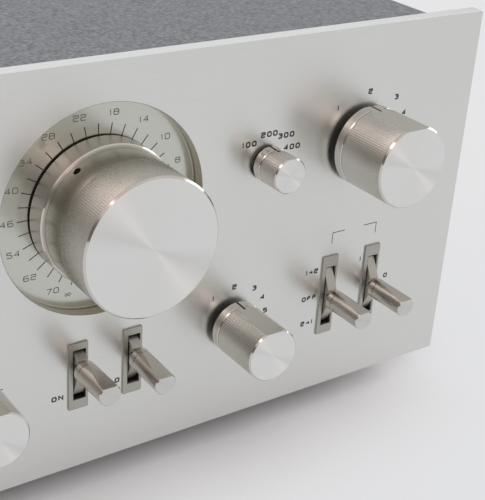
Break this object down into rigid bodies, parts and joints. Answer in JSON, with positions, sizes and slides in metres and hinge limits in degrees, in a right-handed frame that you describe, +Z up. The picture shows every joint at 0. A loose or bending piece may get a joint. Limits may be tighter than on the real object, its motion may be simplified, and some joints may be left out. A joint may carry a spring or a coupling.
{
  "type": "integrated amplifier",
  "caption": "Free-standing hi-fi amplifier with a brushed front plate, turned knobs, lever switches, a round volume scale and a vented steel case.",
  "frame": {"origin": "centre of the footprint, at the height of the surface that the feet stand on", "axes": "+X to the right as seen from the front, +Y to the back, +Z up"},
  "size_m": [0.42, 0.364, 0.15],
  "materials": {
    "brushed_aluminium": "brushed",
    "turned_aluminium": "turned",
    "anodised_dial": "satin",
    "escutcheon": "satin",
    "enamelled_steel": "textured enamel",
    "zinced_steel": "satin",
    "blacked_aluminium": "matte black",
    "nickelled_steel": "polished",
    "black_rubber": "matte",
    "black_plastic": "matte",
    "can_sleeve": "gloss",
    "board_laminate": "matte",
    "transformer_paint": "satin"
  },
  "bodies": {
    "chassis": {"headphone_nut": "nickelled_steel", "front_panel": "brushed_aluminium", "front_sub_panel": "zinced_steel", "volume_dial": "anodised_dial", "volume_control": "zinced_steel", "function_switch": "zinced_steel", "treble_control": "zinced_steel", "bass_control": "zinced_steel", "mode_switch": "zinced_steel", "balance_control": "zinced_steel", "speakers_switch": "zinced_steel", "cartridge_load_switch": "zinced_steel", "power_switch": "escutcheon", "low_filter_switch": "escutcheon", "high_filter_switch": "escutcheon", "loudness_switch": "escutcheon", "muting_switch": "escutcheon", "duplicate_switch": "escutcheon", "monitor_switch": "escutcheon", "headphone_jack": "black_plastic", "top_cover": "enamelled_steel", "chassis_tray": "zinced_steel", "rear_panel": "enamelled_steel", "foot_front_left": "black_rubber", "foot_front_right": "black_rubber", "foot_rear_left": "black_rubber", "foot_rear_right": "black_rubber", "power_transformer": "transformer_paint", "capacitor_left": "can_sleeve", "capacitor_right": "can_sleeve", "heat_sink": "blacked_aluminium", "power_amplifier_board": "board_laminate", "phono_board": "board_laminate", "phono_jacks": "nickelled_steel", "speaker_terminals": "black_plastic", "ground_terminal": "nickelled_steel", "mains_gland": "black_plastic"},
    "volume_knob_and_shaft": {"volume_knob": "turned_aluminium", "volume_shaft": "nickelled_steel"},
    "function_knob_and_shaft": {"function_knob": "turned_aluminium", "function_shaft": "nickelled_steel"},
    "treble_knob_and_shaft": {"treble_knob": "turned_aluminium", "treble_shaft": "nickelled_steel"},
    "bass_knob_and_shaft": {"bass_knob": "turned_aluminium", "bass_shaft": "nickelled_steel"},
    "mode_knob_and_shaft": {"mode_knob": "turned_aluminium", "mode_shaft": "nickelled_steel"},
    "balance_knob_and_shaft": {"balance_knob": "turned_aluminium", "balance_shaft": "nickelled_steel"},
    "speakers_knob_and_shaft": {"speakers_knob": "turned_aluminium", "speakers_shaft": "nickelled_steel"},
    "cartridge_load_knob_and_shaft": {"cartridge_load_knob": "turned_aluminium", "cartridge_load_shaft": "nickelled_steel"},
    "power_rocker": {"power_lever": "turned_aluminium"},
    "low_filter_rocker": {"low_filter_lever": "turned_aluminium"},
    "high_filter_rocker": {"high_filter_lever": "turned_aluminium"},
    "loudness_rocker": {"loudness_lever": "turned_aluminium"},
    "muting_rocker": {"muting_lever": "turned_aluminium"},
    "duplicate_rocker": {"duplicate_lever": "turned_aluminium"},
    "monitor_rocker": {"monitor_lever": "turned_aluminium"}
  },
  "joints": [
    {"name": "volume_turn", "type": "hinge", "parent": "chassis", "child": "volume_knob_and_shaft", "pos_m": [0.05796, -0.153, 0.10198], "axis": [0, 1, 0], "range_deg": [-124.5, 195.5]},
    {"name": "function_turn", "type": "hinge", "parent": "chassis", "child": "function_knob_and_shaft", "pos_m": [0.15989, -0.153, 0.10772], "axis": [0, 1, 0], "range_deg": [-30, 60]},
    {"name": "treble_turn", "type": "hinge", "parent": "chassis", "child": "treble_knob_and_shaft", "pos_m": [-0.05502, -0.153, 0.10772], "axis": [0, 1, 0], "range_deg": [-150, 150]},
    {"name": "bass_turn", "type": "hinge", "parent": "chassis", "child": "bass_knob_and_shaft", "pos_m": [-0.11802, -0.153, 0.10772], "axis": [0, 1, 0], "range_deg": [-150, 150]},
    {"name": "mode_turn", "type": "hinge", "parent": "chassis", "child": "mode_knob_and_shaft", "pos_m": [0.10849, -0.153, 0.04878], "axis": [0, 1, 0], "range_deg": [-30, 90]},
    {"name": "balance_turn", "type": "hinge", "parent": "chassis", "child": "balance_knob_and_shaft", "pos_m": [0.01084, -0.153, 0.04878], "axis": [0, 1, 0], "range_deg": [-150, 150]},
    {"name": "speakers_turn", "type": "hinge", "parent": "chassis", "child": "speakers_knob_and_shaft", "pos_m": [-0.137, -0.153, 0.04878], "axis": [0, 1, 0], "range_deg": [-30, 60]},
    {"name": "cartridge_load_turn", "type": "hinge", "parent": "chassis", "child": "cartridge_load_knob_and_shaft", "pos_m": [0.11802, -0.153, 0.10772], "axis": [0, 1, 0], "range_deg": [-30, 60]},
    {"name": "power_rock", "type": "hinge", "parent": "chassis", "child": "power_rocker", "pos_m": [-0.182, -0.142, 0.10772], "axis": [1, 0, 0], "range_deg": [0, 12]},
    {"name": "low_filter_rock", "type": "hinge", "parent": "chassis", "child": "low_filter_rocker", "pos_m": [-0.0919, -0.142, 0.04906], "axis": [1, 0, 0], "range_deg": [0, 12]},
    {"name": "high_filter_rock", "type": "hinge", "parent": "chassis", "child": "high_filter_rocker", "pos_m": [-0.0719, -0.142, 0.04906], "axis": [1, 0, 0], "range_deg": [0, 12]},
    {"name": "loudness_rock", "type": "hinge", "parent": "chassis", "child": "loudness_rocker", "pos_m": [0.04888, -0.142, 0.04906], "axis": [1, 0, 0], "range_deg": [0, 14.2]},
    {"name": "muting_rock", "type": "hinge", "parent": "chassis", "child": "muting_rocker", "pos_m": [0.06888, -0.142, 0.04906], "axis": [1, 0, 0], "range_deg": [0, 10]},
    {"name": "duplicate_rock", "type": "hinge", "parent": "chassis", "child": "duplicate_rocker", "pos_m": [0.15099, -0.142, 0.04906], "axis": [1, 0, 0], "range_deg": [-12, 12]},
    {"name": "monitor_rock", "type": "hinge", "parent": "chassis", "child": "monitor_rocker", "pos_m": [0.17099, -0.142, 0.04906], "axis": [1, 0, 0], "range_deg": [-12, 12]}
  ]
}
